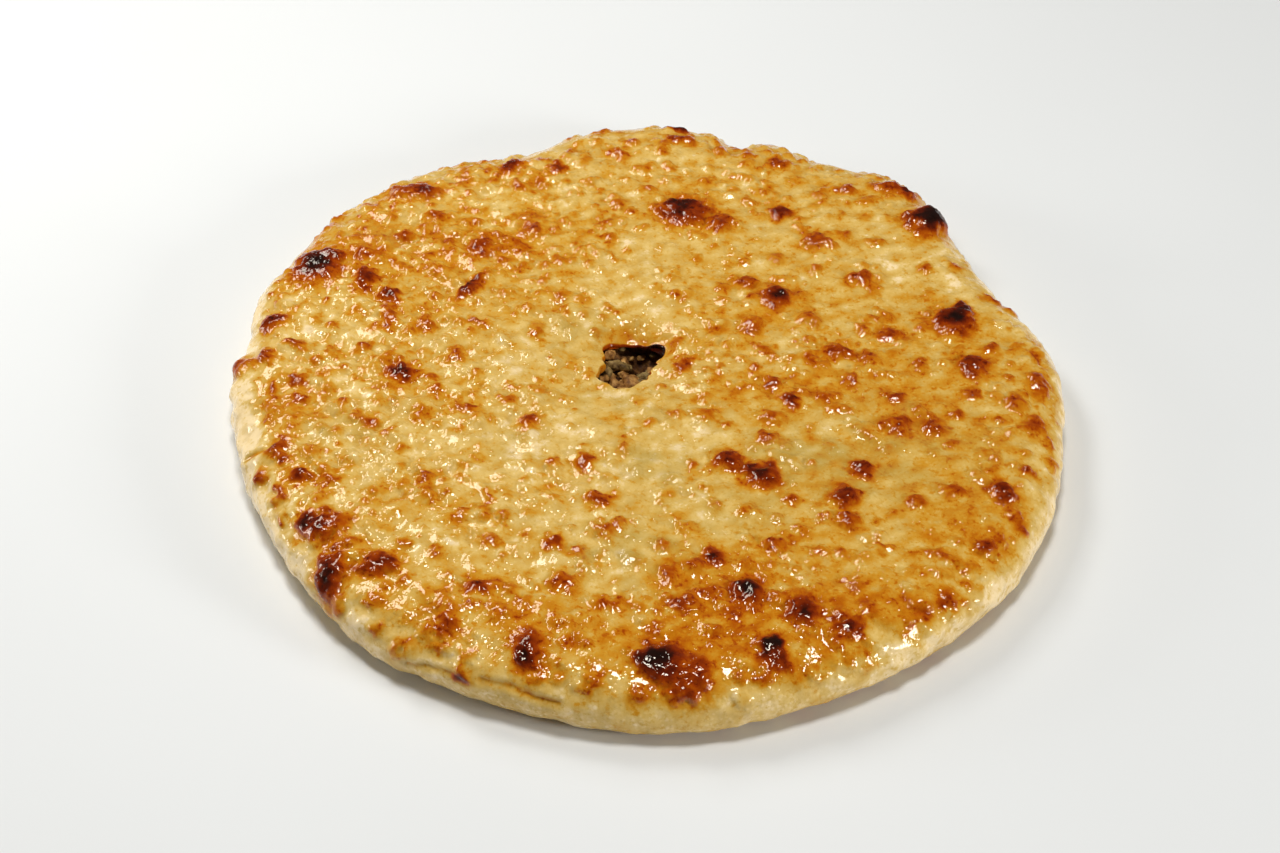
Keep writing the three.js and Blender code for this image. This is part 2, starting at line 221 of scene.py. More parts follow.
# The blisters of each kind: x, y, half length, half width and the length's direction. Rows leave out
# the last of them where there is no turn, where the blister is round, and where its size is usual.
USUAL_BLISTER = 3
BLISTERS = {
    "black": [
        (-132.5, 67, 6.5, 8.5), (116.5, 94, 9.5, 8.5), (3, -149, 8, 7, 80), (36, -117, 4, 4.5),
        (44, -142, 4.5), (123, 33, 5),
    ],
    "burnt": [
        (15, 105, 6, 8, -10), (-122, -83, 4, 5), (-111, -110, 4, 7, 10), (43, -57, 4.5, 4),
        (14, 163, 5, 3, -20), (-94, 1, 3.5, 3), (54, 47, 3, 4), (70, -134, 3.5, 3), (-41, -147, 3, 5),
        (126, 38, 5, 4, 40), (56, -128),
    ],
    "dark": [
        (17, 103, 11, 9, -25), (122, 32, 9, 8.5), (-117, -84, 8.5, 6), (-111, -108, 6, 11),
        (36, -117, 6, 7.5), (43, -57, 7, 6), (56, -16, 3.5, 4.5), (53, 48, 6, 8), (70, -134, 5.5, 4.5),
        (-40, -145, 5, 8), (-94, 1, 6, 5.5), (-112, 58, 5, 6.5), (-102, 48, 4), (57, 104, 5, 4.5),
        (127, 4.5, 6.5, 6), (73.5, -69, 5.5, 6), (131, -66, 5.5, 5), (31, -49, 5.5), (81, -53, 5, 5.5),
        (55, -127, 6), (-94, -103, 7.5, 5.5), (-59, -114, 5, 4), (24, -99, 5, 3.5), (-146, 31, 6, 5),
        (-92, 118, 5, 4), (-127, -57, 4, 3.5), (-70, 53, 9, 3, 55), (-57, 135, 6, 3.5, 60),
        (8, -152, 8.5, 9), (-133, 68, 9.5, 12), (110, 116, 5, 3, -30), (45, -148, 5),
    ],
    "red": [
        (-67, 80, 5, 6), (-97, 117, 11, 6), (16, 155, 7, 3.5), (-37, 134, 3.5), (32, 96, 6),
        (57, 137, 4.5, 3.5), (-46, 91, 4.5, 3.5), (41, 57, 5.5, 4), (86, 119, 4.5, 3),
        (104, 119, 8, 4, -20), (71, 84, 6.5, 6), (87, 59, 6, 4), (-147, 10, 3, 4), (-159, 18, 4.5, 5.5),
        (-134, -3, 3, 3.5), (-136, -40, 3, 3.5), (-137, -45, 3, 3.5), (-134, -50, 3, 3.5),
        (-141, -57, 3, 4), (49, -5, 4, 4.5), (46, -37, 4.5, 4), (14, 4, 5.5, 3.5, 60), (-44, -27, 4, 4.5),
        (-22, -51, 4, 5), (97, 24, 5.5, 4.5), (76, 14, 6.5, 5, -20), (151, -6, 5, 7), (96, -14, 5.5, 3),
        (96, -30, 5.5), (147, -29, 5, 4.5), (109, -31, 4, 4.5), (74, -82, 4.5), (122, -94, 4),
        (106, -121, 4), (-16, -70, 5, 4), (-33, -93, 4.5, 4), (14, -123, 5, 4), (45, -150, 5, 4),
        (14, -164, 7, 5), (-69, -133, 5), (18, -154, 6, 8, 20), (139, 46, 4, 3), (145, 39, 4, 3),
    ],
    "brown": [
        (-125, 72, 3, 5), (-138, 59, 7, 3), (-114, 76, 3.5), (-86, 101, 4), (-80, 84), (-17, 161, 2.5, 4),
        (-12, 146, 3, 5, 60), (33, 149, 2.5, 4), (-16, 96, 4, 2.5), (122.5, 92.5, 3.5, 5), (83, 87),
        (-86, 30, 3.5, 4), (-67, 31, 3.5, 2.5), (-136, 17, 3.5, 3), (-109, 16, 2.5, 3.5),
        (-74, 11, 5.5, 3.5, 30), (-82, -1, 3, 2), (-80, -9, 3.5, 3), (-104, -27, 4, 3.5),
        (-115, -16, 3, 2.5), (-67, -20, 4, 3.5), (-116, -59, 5, 3), (-80, -57, 3.5, 3),
        (42, 30, 6, 4.5, 10), (47, 16, 6, 2.5, -40), (9, -108, 3, 6), (21, -117, 4, 3), (47, -93, 5.5, 4),
        (53, -69, 4, 3), (-14, -86, 4.5), (-24, -97, 4, 3), (-2, -166, 3, 4), (-17, -160, 5, 3, 40),
        (18, -104, 5, 3), (114, -66, 4.5), (99, -71, 4, 4.5), (136, -86, 2.5, 3), (134, -79, 4, 4.5),
        (127, -90), (106, -99, 7, 2.5, -20), (-62, -156, 4, 3), (-51, 80, 3.5, 3), (-99, 88, 5, 3.5),
        (-101, 35, 3, 9), (-131, -14, 3.5, 3), (-143, -8, 2.5, 5), (25, -23, 3.5), (48, -26, 5, 4),
        (-29, -112, 5), (42, 4, 2.5, 4), (87, 10, 4, 4.5), (65, 8, 3.5), (107, 5, 3.5, 4.5),
        (141, -16, 4, 4.5), (135, 15, 4, 3), (151, -39, 2, 4), (69, -14, 5, 4), (79, -4, 3.5), (118, -23),
        (125, -12, 3.5), (-131, -82, 2, 3), (-133, -68, 3, 6), (46, -119, 4, 3), (40, -158, 4, 3),
        (142, -56, 3.5, 3), (114, 66, 3, 3.5), (126, 66, 4, 3), (44, 144), (-11, -123, 5.5, 3),
        (-34, -49, 2, 3),
    ],
    "orange": [
        (-112, 105, 2.5, 4), (-76, 126, 3, 4), (-130, 94), (-126, 100), (-70, 105), (-74, 97), (-31, 156),
        (-44, 150, 4, 3), (34, 156, 4, 3), (-43, 126, 3, 5), (-54, 121, 2.5, 3), (1, 120, 4.5, 2.5),
        (-10, 109, 4), (-5, 104, 3, 2), (53, 117, 5, 3), (54, 73, 3.5, 4), (-48, 102, 4.5, 4), (-37, 92),
        (-50, 66, 4, 2), (74, 116, 3.5, 4), (94, 112, 5.5, 3.5), (99, 124, 3, 2.5), (97, 131, 2.5),
        (66, 92, 2.5, 5), (95, 82, 5, 3), (92, 54, 3, 4), (-6, 153, 4, 3), (-85, -24, 3, 5),
        (-95, -122, 5, 4), (-84, -143, 6, 3), (-92, -135, 4, 3), (-71, -145), (-107, -125, 3, 4),
        (-34, 48, 3.5, 4), (-42, 26, 3, 6), (-11, 37, 2, 2.5), (32, 54, 4), (27, 27, 4, 2.5),
        (12, -22, 2.5, 3), (32, -29), (-52, -15, 4, 3.5), (-51, -7, 3, 2), (63, 50, 4), (65, 34, 4, 6),
        (93, 34, 5, 3.5), (86, 29), (111, 31, 3, 4), (146, 17, 3.5), (74, -21, 6, 3), (104, -22),
        (127, -29), (135, -26), (115, -40), (-105, -92, 5, 3), (-85, -111, 3.5, 3), (-49, -126, 5, 3.5),
        (-56, -92, 4, 3.5), (-57, -69, 2.5, 4), (-8, -82), (57, -86), (37, -76, 3, 4), (62, -97, 4, 2),
        (91, -77), (85, -95, 3.5, 3), (74, -114), (78, -125), (-69, -79), (-86, -93), (-74, -99),
        (36, -103), (24, -135), (151, -51, 2.5, 4), (82, 101, 2, 4), (-14, 84, 2.5), (-14, 76, 2.5, 2),
        (11, 134), (-130, 34), (-122, 30, 3, 2.5), (-101, 9), (-91, -42), (-80, -64), (-52, -114),
        (7, -94), (-35, -156),
    ],
    "faint": [
        (-90, 94), (-27, 84), (8, 148, 4), (27, 126, 5), (44, 112, 4), (-41, 114), (65, 126, 4),
        (104, 99, 4), (92, 100, 4), (69, 66, 4), (-124, -10, 6, 4), (-140, -23, 4), (-132, -25, 4),
        (-124, -44, 5), (-107, 29, 4), (-114, 37, 4), (-127, 44), (-87, 42, 2, 5), (-111, -2),
        (-32, 14, 2, 1.5), (7, 50), (31, 39), (-8, -44), (-22, -41, 3, 1.5), (-14, -27), (18, -53),
        (-58, -26), (114, 48, 4), (141, -32), (127, -46, 4), (90, -42, 4, 3), (62, -51), (129, -55),
        (69, -40), (107, -45), (62, -36), (119, -78, 4), (85, -82), (117, -87), (96, -106, 4, 3),
        (107, -108, 4, 3), (26, -73), (15, -85, 4, 3), (12, -79), (-9, -136, 4, 3), (-30, -132, 4, 3),
        (-42, -88), (-50, -81), (-42, -77), (-117, -68, 4, 3), (-99, -66, 4, 3), (-63, -46),
    ],
}

# Broad patches of the top that are more (or less) baked: x, y, half length, half width, amount. The
# paler patch at (-135, 28) is a painted highlight.
BAKED_AND_SHEEN_PATCHES = [
    (80, -126, 34, 9, 0.17), (112, -92, 16, 22, 0.18), (34, -112, 34, 24, 0.17),
    (25, -144, 56, 12, 0.20), (-40, -130, 26, 13, 0.12), (-80, -124, 34, 18, 0.07),
    (-8, -98, 20, 12, -0.10), (-138, -30, 16, 50, 0.09), (-85, 75, 60, 28, 0.16),
    (60, 115, 60, 40, 0.04), (-15, -35, 40, 28, -0.06), (-20, -60, 40, 22, -0.05),
    (105, -15, 45, 50, 0.11), (38, -15, 30, 18, 0.09), (50, 38, 40, 22, 0.05),
    (115, 70, 40, 36, -0.07), (-10, 60, 40, 20, -0.04), (-135, 28, 22, 20, -0.10),
]

# Patches where thin skin lets the greens below show: x, y, half length, half width, amount.
THIN_PATCHES = [
    (2, -52, 16, 12, 0.7), (-8, -98, 22, 13, 0.7), (60, -52, 26, 12, 0.6), (-112, -35, 14, 10, 0.6),
    (-15, 24, 22, 12, 0.6), (90, -45, 40, 26, 0.5), (-52, -44, 12, 9, 0.5),
    (-105, 82, 9, 7, 0.5), (30, -80, 30, 12, 0.4), (-10, -15, 30, 16, 0.35),
]

# Patches where the skin is lumpier: x, y, half length, half width, how much more.
LUMPY_PATCHES = [
    (-100, -20, 55, 100, 1.4), (-55, -60, 50, 45, 1.0), (-60, 105, 60, 45, 1.0), (70, -120, 80, 28, 0.7),
    (30, 20, 22, 22, 0.8),
]

# How much thin patches count at most and on average, and the levels of baking that hide them.
THIN_LIMIT = 0.8
THIN_SHARE = 0.7
THIN_HIDDEN = (0.34, 0.46)

# Small bubbles strewn over the whole top: how many are tried, their radius, the power that makes most
# of them small, how they rise, how far out they are worked out, how far they stay from the outline
# and the hole, and how much flatter the pale band is.
BUBBLE_COUNT = 6500
BUBBLE_SEED = 11
BUBBLE_RADIUS = (1.2, 3.0)
BUBBLE_POWER = 1.6
BUBBLE_RISE = 0.52
BUBBLE_REACH = 1.6
RIM_MARGIN = 2
HOLE_MARGIN = 5
PALE_FLATTENING = 0.5

# How much their tips brown or turn paler, the paler ones partly thin skin and partly a painted sheen,
# how far out, and how little of it shows on baked skin.
BUBBLE_TIP = 0.20
TIP_SHEEN_AND_BROWNING = (-0.35, 1)
TIP_REACH = 1.15
TIP_POWER = 0.5
RIPE_LEVELS = (0.24, 0.42)
BAKED_TIP_LOSS = 0.75

# How they crowd: by ripples of a wavelength, by chance, and at places. Only the crowded ones stay.
CROWD_WAVELENGTH = 26
CROWD_CHANCE = 0.8
CROWD_WEIGHT = 2
CROWD_LIMIT = 1.0

# Where they crowd: x, y, half length, half width, amount.
BUBBLE_CROWDS = [
    (-90, 85, 75, 60, 1.1), (-125, -20, 35, 90, 0.9), (30, 125, 90, 35, 0.7),
    (60, -115, 100, 35, 0.5), (75, 15, 60, 40, 0.6), (-50, -40, 50, 50, 0.4),
    (105, 70, 40, 30, -0.7), (110, -60, 40, 25, -0.4), (20, 20, 9, 10, 1.4), (14, -7, 9, 6, 1.2),
]

# How wide the pale band of the rim is, in mm, with its swells by direction, how soft its edge is, and
# how pale it is, with its fades by direction. The band is partly unbrowned dough and partly painted
# light: widened on the left as painted light where the lamps light the rim, and less pale at the front
# as painted shade.
PALE_BAND = 0.5
PALE_AND_LIGHT_SWELLS = [
    (-174, 40, 9), (-140, 22, 4), (-95, 25, 2), (-45, 28, 1.5), (0, 25, 2), (20, 14, 8),
    (75, 70, -6),
]
PALE_EDGE = (-2.5, 4.0)
PALE_AMOUNT = 1.0
PALE_AND_SHADE_FADES = [(-92, 30, -0.55)]

# Knobs that stand out from the rim: x, y, z, radius and height.
KNOBS = [
    (-159.5, 13, 15, 7, 1.7), (117, 98, 21, 12, 4.6), (105, 122, 21.5, 8, 1.4), (112, 118, 20.5, 6, 1.0),
    (155, 14, 20, 4, 1.0),
]
KNOB_POWER = 1.5

# Creases of the rim: how much darker each one's furrow is made, as painted shade, and the points x, y, z
# that it runs through.
CREASES = [
    (0.22, [(-83, -141, 11.4), (-75.5, -145, 13.6), (-67, -149, 15), (-61, -152.4, 14.1)]),
    (0.22, [(-56, -153.2, 16.4), (-46.4, -156.5, 16.8), (-37, -160.8, 15), (-29, -163, 15)]),
    (0.40, [(-148.3, -43.9, 17.3), (-145.5, -43.8, 19.5), (-142.4, -43.6, 21.1)]),
    (0.16, [(150, 13.8, 22.4), (153.2, 7.4, 21.6), (155.8, 6.1, 20.5)]),
]

# Each crease is a furrow along the middle of a low fold.
CREASE_DEPTH = 1.4
CREASE_WIDTH = 1.1
FOLD_HEIGHT = 0.9
FOLD_WIDTH = 5

# Where each zone of the crust lies on its flat map: the middle, u and v, and the map's share of a mm.
ISLANDS = {
    "outside": (0.37, 0.37, 0.36 / 195),
    "underside": (0.87, 0.87, 0.12 / 180),
    "inside": (0.87, 0.13, 0.12 / 180),
    "cavity": (0.13, 0.87, 0.12 / 180),
}

# The dough's tones by how baked it is, and where it is greenish, thin over the greens or charred.
DOUGH_TONES = [
    (0.00, (244, 217, 166)), (0.10, (223, 188, 110)), (0.20, (211, 169, 82)), (0.30, (203, 145, 40)),
    (0.40, (192, 116, 11)), (0.50, (170, 78, 1)), (0.60, (138, 47, 0)), (0.72, (97, 24, 1)),
    (0.85, (58, 14, 3)), (1.00, (26, 8, 4)),
]
GREENISH_TONE = (190, 154, 80)
THIN_TONE = (170, 142, 66)
THIN_STRENGTH = 0.55
CHARRED_TONE = (22, 9, 6)

# Noise in the dough: patch size in mm, detail and roughness, the first two with how much they brown
# and pale it.
BROWNINGS = [((5, 5, 0.6), 0.26), ((1.5, 3, 0.65), 0.13)]
FLECKS = (2.4, 4, 0.6)
GREENISH = (9, 5, 0.65)
STREAKS = (3, 3)
GRAIN = (0.9, 3, 0.5)
WRINKLES = (3.5, 2, 0.4)

# Where flecks and the greenish tone begin and are full, and what they begin and end with. Only young
# dough turns greenish.
FLECK_FADE = (0.54, 0.68, 0.0, 0.13)
GREENISH_FADE = (0.48, 0.66, 0.0, 0.4)
YOUNG_FADE = (0.24, 0.36, 1.0, 0.0)

# Tiny bubbles: their size in mm, how much paler their tops are, partly thin skin and partly a painted
# sheen, and their relief with that of grain and wrinkles.
TINY_BUBBLE = 1.9
BUBBLE_PALING_AND_SHEEN = -0.07
BUBBLE_RELIEF = 0.16
GRAIN_RELIEF = 0.02
WRINKLE_RELIEF = 0.25
DULL_RELIEF_LOSS = 0.6

# The film of butter, and how much rougher streaks and dull skin make it.
BUTTER = {"IOR": 1.45, "Specular IOR Level": 0.48, "Specular Tint": (1.0, 0.92, 0.78, 1.0)}
BUTTER_ROUGHNESS = 0.02
STREAK_ROUGHNESS = 0.09
DULL_ROUGHNESS = 0.12

# The filling's tones, dark to light, where each lies in its noise, and the finish of all of them.
FILLING_STOPS = (0.32, 0.5, 0.68)
FILLING_TONES = {
    "mixed_filling": [(44, 18, 6), (84, 50, 20), (124, 84, 40)],
    "salmon": [(88, 50, 20), (152, 106, 52), (196, 148, 82)],
    "greens": [(66, 44, 20), (120, 94, 50), (160, 134, 82)],
    "grains": [(100, 62, 26), (156, 114, 58), (206, 162, 94)],
}
FILLING_DETAIL = (4, 0.6)
FILLING_GRAIN = (1.0, 3)
FILLING_RELIEF = (0.4, 0.4)
FILLING_SPECULAR = 0.15
MOIST_PATCHES = 1.5
MOIST_SPREAD = 0.3

# The floor: its size in metres, the size of its patches in mm, its tones and its finish.
FLOOR_SIZE = 12
FLOOR_PATCHES = 400
FLOOR_TONES = [(0.3, (225, 226, 224)), (0.7, (229, 230, 228))]
FLOOR_FINISH = {"Roughness": 0.7, "Specular IOR Level": 0.2}

# The sky, and the lamps: name, azimuth, elevation, distance and size in metres, power and colour.
WHITE = (1.0, 1.0, 1.0)
SKY = {"Color": (1.0, 0.99, 0.97, 1), "Strength": 0.08}
LAMPS = [
    ("key", -132, 50, 0.95, 0.3, 3.6, (1.0, 0.99, 0.97)),
    ("behind", -150, 40, 1.1, 0.13, 0.8, WHITE),
    ("overhead", 10, 88, 1.7, 0.36, 15.3, WHITE),
    ("left", -95, 15, 1.8, 0.38, 7, WHITE),
    ("right", 62, 17, 1.8, 0.38, 15.5, WHITE),
]


def smooth(low, high, value):
    """0 up to low and 1 from high on, with a soft rise between them."""
    share = np.clip((value - low) / (high - low), 0, 1)
    return share * share * (3 - 2 * share)


def ripple(points, wavelength, seed, count=28):
    """A smooth random field over the points, of about unit size, with waves of about that length."""
    draw = np.random.default_rng(seed)
    headings = draw.normal(size=(count, 3))
    headings /= np.linalg.norm(headings, axis=1)[:, None]
    lengths = wavelength * draw.uniform(0.7, 1.4, count)
    phases = draw.uniform(0, 2 * np.pi, count)
    turns = headings * (2 * np.pi / lengths)[:, None]
    return np.cos(points @ turns.T + phases).sum(axis=1) * math.sqrt(2 / count)


def waves(points, rows):
    """The sum of ripples over the points, each wavelength, amount and seed."""
    return sum(amount * ripple(points, wavelength, seed) for wavelength, amount, seed in rows)


def reach_of(radius, swells, angle):
    """A round outline's radius in a direction, with its swells and dents."""
    reach = np.full_like(angle, float(radius))
    for direction, half_width, amount in swells:
        turn = angle - math.radians(direction)
        off = np.arctan2(np.sin(turn), np.cos(turn)) / math.radians(half_width)
        reach += amount * np.exp(-off * off)
    return reach


def rim_reach(angle):
    return reach_of(PIE_RADIUS, RIM_SWELLS, angle)


def rim_inset(x, y):
    """How far in from the pie's outline points lie."""
    return rim_reach(np.arctan2(y, x)) - np.hypot(x, y)


def from_hole(x, y):
    """The distance and direction of points from the hole's middle."""
    return np.hypot(x - HOLE_X, y - HOLE_Y), np.arctan2(y - HOLE_Y, x - HOLE_X)


def roll_height(x, y):
    """How far the skin rolls down or stands up round the hole. It fades outwards, and towards the
    middle."""
    away, angle = from_hole(x, y)
    edge = reach_of(HOLE_RADIUS, HOLE_SWELLS, angle)
    height = np.zeros_like(x)
    for direction, half_width, rise, reach in HOLE_ROLLS:
        past = np.maximum(away - edge, 0) / reach
        height += reach_of(0, [(direction, half_width, rise)], angle) * np.exp(-past * past)
    return height * np.minimum(away / edge, 1) ** 2


def hole_edge(angle):
    """Points of the hole's edge."""
    reach = reach_of(HOLE_RADIUS, HOLE_SWELLS, angle)
    for count, start, depth in HOLE_TEARS:
        reach = reach + depth * np.sin(count * angle + start)
    return HOLE_X + reach * np.cos(angle), HOLE_Y + reach * np.sin(angle)


def inset_from_rim(angle, inset):
    """Points that lie a distance in from the pie's outline."""
    reach = rim_reach(angle) - inset
    return reach * np.cos(angle), reach * np.sin(angle)


def between(angle, share, inset):
    """Points between the hole's edge, share 0, and an inset line, share 1."""
    hole_x, hole_y = hole_edge(angle)
    rim_x, rim_y = inset_from_rim(angle, inset)
    return hole_x + share * (rim_x - hole_x), hole_y + share * (rim_y - hole_y)


def skin_height(x, y):
    """The height of the smooth top at points, with the fall of the shoulder towards the outline."""
    level = TOP_HEIGHT + roll_height(x, y)
    for swell_x, swell_y, radius, height in TOP_SWELLS:
        off = np.hypot(x - swell_x, y - swell_y) / radius
        level += height * np.exp(-off * off)
    fall = np.clip(1 - rim_inset(x, y) / SHOULDER, 0, 1)
    rise = (1 - fall**SHOULDER_POWER) ** (1 / SHOULDER_POWER)
    return WIDEST_HEIGHT + (level - WIDEST_HEIGHT) * rise


def rolled_share(x, y):
    """0 where the skin lies flat, 1 where it rolls down furthest into the hole."""
    deepest = min(rise for _, _, rise, _ in HOLE_ROLLS)
    return np.clip(roll_height(x, y) / deepest, 0, 1)


def skin_thickness(x, y):
    """The skin's thickness. It is stretched thin where it rolls down into the hole."""
    return SKIN + (ROLLED_SKIN - SKIN) * rolled_share(x, y)


def ceiling_height(x, y):
    return skin_height(x, y) - skin_thickness(x, y)


def filling_height(x, y):
    """The filling's top: just below the ceiling of its hollow, and sunk under the hole."""
    away, angle = from_hole(x, y)
    depth = reach_of(SUNK_DEPTH, SUNK_SWELLS, angle) * np.exp(-((away / SUNK_RADIUS) ** 4))
    return ceiling_height(x, y) - GAP - depth


def at_place(height_at, x, y):
    """A surface's height at a single place."""
    return float(height_at(np.array([x], dtype=float), np.array([y], dtype=float))[0])


class Shell:
    """A closed surface of rings, from the middle of one side round to the middle of the other.

    Each point keeps its angle, its lean (90 degrees where the surface faces up, 0 where it faces
    outwards), and where it lies once each zone of the surface is unrolled on a flat map."""

    def __init__(self, seed):
        self.draw = np.random.default_rng(seed)
        self.counts, self.zones = [], []
        self.angle, self.x, self.y, self.z, self.lean, self.flat = [], [], [], [], [], []

    def ring(self, zone, count, place, uneven=0.0):
        """Adds a ring. place(angle) gives x, y, z, lean and the unrolled distance from the middle."""
        angle = 2 * np.pi * (np.arange(count) + uneven * self.draw.uniform(-1, 1, count)) / count
        x, y, z, lean, flat = (np.broadcast_to(part, angle.shape) for part in place(angle))
        self.counts.append(count)
        self.zones.append(zone)
        parts = (self.angle, self.x, self.y, self.z, self.lean, self.flat)
        for kept, part in zip(parts, (angle, x, y, z, lean, flat)):
            kept.append(part)

    def joined(self):
        """All rings' values as single arrays, and each point's ring."""
        parts = [np.concatenate(p) for p in (self.angle, self.x, self.y, self.z, self.lean, self.flat)]
        return parts + [np.repeat(np.arange(len(self.counts)), self.counts)]

    def triangles(self):
        """The triangles between neighbouring rings, and the zone of each."""
        faces, zones = [], []
        start = 0
        for k in range(len(self.counts) - 1):
            after = start + self.counts[k]
            strip = stitch(start, self.counts[k], after, self.counts[k + 1])
            faces.extend(strip)
            zones.extend([self.zones[k + 1]] * len(strip))
            start = after
        return faces, zones


def stitch(start_a, count_a, start_b, count_b):
    """Triangles between two rings of any counts. They face down where ring b lies outside ring a."""
    steps_a = count_a if count_a > 1 else 0
    steps_b = count_b if count_b > 1 else 0
    faces = []
    a = b = 0
    while a < steps_a or b < steps_b:
        point_a = start_a + a % count_a
        point_b = start_b + b % count_b
        if b < steps_b and (a >= steps_a or (b + 0.5) / count_b <= (a + 0.5) / count_a):
            b += 1
            faces.append((start_b + b % count_b, point_b, point_a))
        else:
            a += 1
            faces.append((point_a, start_a + a % count_a, point_b))
    return faces


def count_for(radius, pitch):
    return max(8, round(2 * np.pi * radius / pitch))


def arc_lengths(insets, heights):
    """How far along a section its points lie, from its first."""
    steps = np.hypot(np.diff(insets), np.diff(heights))
    return np.concatenate([[0], np.cumsum(steps)])


def shoulder_section():
    """The shoulder from the level top, lean 90 degrees, to the widest level: lean, inset, arc."""
    lean = np.linspace(np.pi / 2, 0, SHOULDER_STEPS + 1)
    inset = SHOULDER * (1 - np.cos(lean) ** (2 / SHOULDER_POWER))
    rise = np.sin(lean) ** (2 / SHOULDER_POWER)
    return lean, inset, arc_lengths(inset, (TOP_HEIGHT - WIDEST_HEIGHT) * rise)


def even_leans(section, pitch):
    """The leans of a section's points that lie a pitch apart along it, with their insets and arcs."""
    lean, inset, arc = section
    count = round(arc[-1] / pitch)
    wanted = np.linspace(0, arc[-1], count + 1)
    return zip(np.interp(wanted, arc, lean), np.interp(wanted, arc, inset), wanted)


def add_underside(shell):
    shell.ring("underside", 1, lambda angle: (0, 0, 0, -np.pi / 2, 0))
    edge = PIE_RADIUS - TUCK
    steps = round(edge / HIDDEN_PITCH)
    for k in range(1, steps):
        share = k / steps

        def place(angle):
            x, y = inset_from_rim(angle, TUCK)
            return x * share, y * share, 0, -np.pi / 2, share * np.hypot(x, y)

        shell.ring("underside", count_for(edge * share, HIDDEN_PITCH), place)


def add_side(shell):
    """The rim's side, from the edge of the underside up to the widest level."""
    top_arc = shoulder_section()[2][-1]
    lean = np.linspace(-np.pi / 2, 0, SIDE_STEPS)
    insets = TUCK * (1 - np.cos(lean))
    heights = WIDEST_HEIGHT * (1 + np.sin(lean))
    arc = arc_lengths(insets, heights)
    steps = round(arc[-1] / SIDE_PITCH)
    for wanted in np.linspace(0, arc[-1], steps + 1)[:-1]:
        turn = np.interp(wanted, arc, lean)
        inset = np.interp(wanted, arc, insets)
        height = np.interp(wanted, arc, heights)
        flat_inset = SHOULDER - top_arc - (arc[-1] - wanted)

        def place(angle):
            x, y = inset_from_rim(angle, inset)
            return x, y, height, turn, rim_reach(angle) - flat_inset

        zone = "underside" if wanted == 0 else "outside"
        shell.ring(zone, count_for(PIE_RADIUS, SIDE_PITCH), place)


def add_shoulder(shell):
    """The rim's shoulder, from the widest level up to the level top."""
    stations = list(even_leans(shoulder_section(), TOP_PITCH))
    for turn, inset, arc in reversed(stations):

        def place(angle):
            x, y = inset_from_rim(angle, inset)
            return x, y, skin_height(x, y), turn, rim_reach(angle) - SHOULDER + arc

        shell.ring("outside", count_for(PIE_RADIUS - inset, TOP_PITCH), place, UNEVEN)


def add_top(shell):
    """The top, from the shoulder in to the hole's edge."""
    width = PIE_RADIUS - SHOULDER - HOLE_RADIUS
    steps = round(width / TOP_PITCH)
    for k in range(1, steps + 1):
        share = 1 - k / steps

        def place(angle):
            loose = UNEVEN / steps if 0 < share else 0
            x, y = between(angle, share + loose * shell.draw.uniform(-1, 1, angle.shape), SHOULDER)
            return x, y, skin_height(x, y), np.pi / 2, np.hypot(x, y)

        shell.ring("outside", count_for(HOLE_RADIUS + share * width, TOP_PITCH), place, UNEVEN)


def add_lip(shell):
    """The torn edge of the skin, from the top over into the hole and back under."""
    steps = round(np.pi * SKIN / 2 / LIP_PITCH)
    for k in range(1, steps):
        turn = np.pi / 2 - np.pi * k / steps

        def place(angle):
            x, y = hole_edge(angle)
            depth = LIP_DEPTH * np.cos(turn)
            far, _ = from_hole(x, y)
            z = skin_height(x, y) - skin_thickness(x, y) / 2 * (1 - np.sin(turn))
            x, y = x + depth * (HOLE_X - x) / far, y + depth * (HOLE_Y - y) / far
            return x, y, z, turn, far - SKIN * (1 + np.sin(turn)) / 2

        shell.ring("inside", count_for(HOLE_RADIUS, LIP_PITCH), place)


def add_ceiling(shell, zone, clearance, height_at, pitch_near, near=0.0):
    """The ceiling of the filling's hollow, from the hole outwards. With a clearance it is the
    filling's own top."""
    width = PIE_RADIUS - RIM_DOUGH - HOLE_RADIUS
    reach = 0.0
    while reach < width:
        share = reach / width

        def place(angle):
            x, y = between(angle, share, RIM_DOUGH + clearance)
            return x, y, height_at(x, y), np.pi / 2, np.hypot(x, y)

        pitch = pitch_near if reach <= near else HIDDEN_PITCH
        shell.ring(zone, count_for(HOLE_RADIUS + reach, pitch), place)
        reach += pitch


def add_edge_and_floor(shell, zone, clearance):
    """The hollow's rounded edge, and its floor back to the middle. With a clearance it is the
    filling's."""
    count = count_for(PIE_RADIUS - RIM_DOUGH, HIDDEN_PITCH)
    middle = (TOP_HEIGHT - SKIN + BASE) / 2
    floor = BASE + clearance
    stations = [(RIM_DOUGH, None), (RIM_DOUGH - EDGE_BULGE, middle), (RIM_DOUGH, floor)]
    for inset, height in stations:

        def place(angle):
            x, y = inset_from_rim(angle, inset + clearance)
            top = ceiling_height(x, y) - (GAP if clearance else 0)
            return x, y, top if height is None else height, 0, np.hypot(x, y)

        shell.ring(zone, count, place)
    for share in FLOOR_SHARES:

        def place(angle):
            x, y = inset_from_rim(angle, RIM_DOUGH)
            return x * share, y * share, floor, -np.pi / 2, share * np.hypot(x, y)

        shell.ring(zone, round(count * share), place)
    shell.ring(zone, 1, lambda angle: (0, 0, floor, -np.pi / 2, 0))


def eye_place():
    """Where the camera stands, in mm."""
    rise = math.radians(CAMERA_ELEVATION)
    back = CAMERA_DISTANCE * math.cos(rise)
    return np.array(LOOK_AT) + (0, -back, CAMERA_DISTANCE * math.sin(rise))


